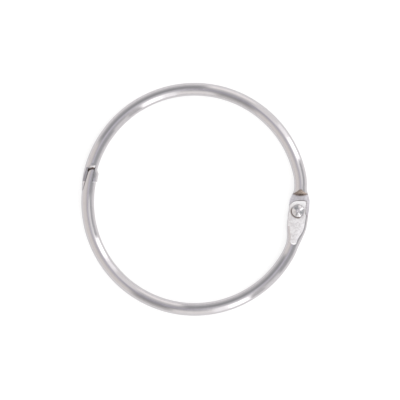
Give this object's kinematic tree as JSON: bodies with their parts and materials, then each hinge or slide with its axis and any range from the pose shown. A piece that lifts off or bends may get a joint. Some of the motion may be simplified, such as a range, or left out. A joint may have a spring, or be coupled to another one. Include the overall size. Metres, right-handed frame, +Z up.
{
  "type": "binder ring",
  "caption": "Hinged loose-leaf ring of round wire: bent halves turn on a rivet through pressed, half-lapped ends and snap shut where a tongue seats in a trough.",
  "frame": {"origin": "under the middle of the closed ring, on the plane it lies on", "axes": "+Z up out of the plane of the ring, along the rivet; +X from the clasp to the hinge; +Y along the ring's longer way, towards the half that holds the rivet"},
  "size_m": [0.0588, 0.0598, 0.0039],
  "materials": {
    "plated_wire": "bright nickel plate, matte where the ends are pressed flat",
    "rivet_steel": "satin"
  },
  "bodies": {
    "upper": {"upper_half": "plated_wire", "hinge_rivet": "rivet_steel"},
    "lower": {"lower_half": "plated_wire"}
  },
  "joints": [
    {"name": "ring_hinge", "type": "hinge", "parent": "upper", "child": "lower", "pos_m": [0.02633, -0.003, 0.00165], "axis": [0, 0, 1], "range_deg": [0, 110]}
  ]
}
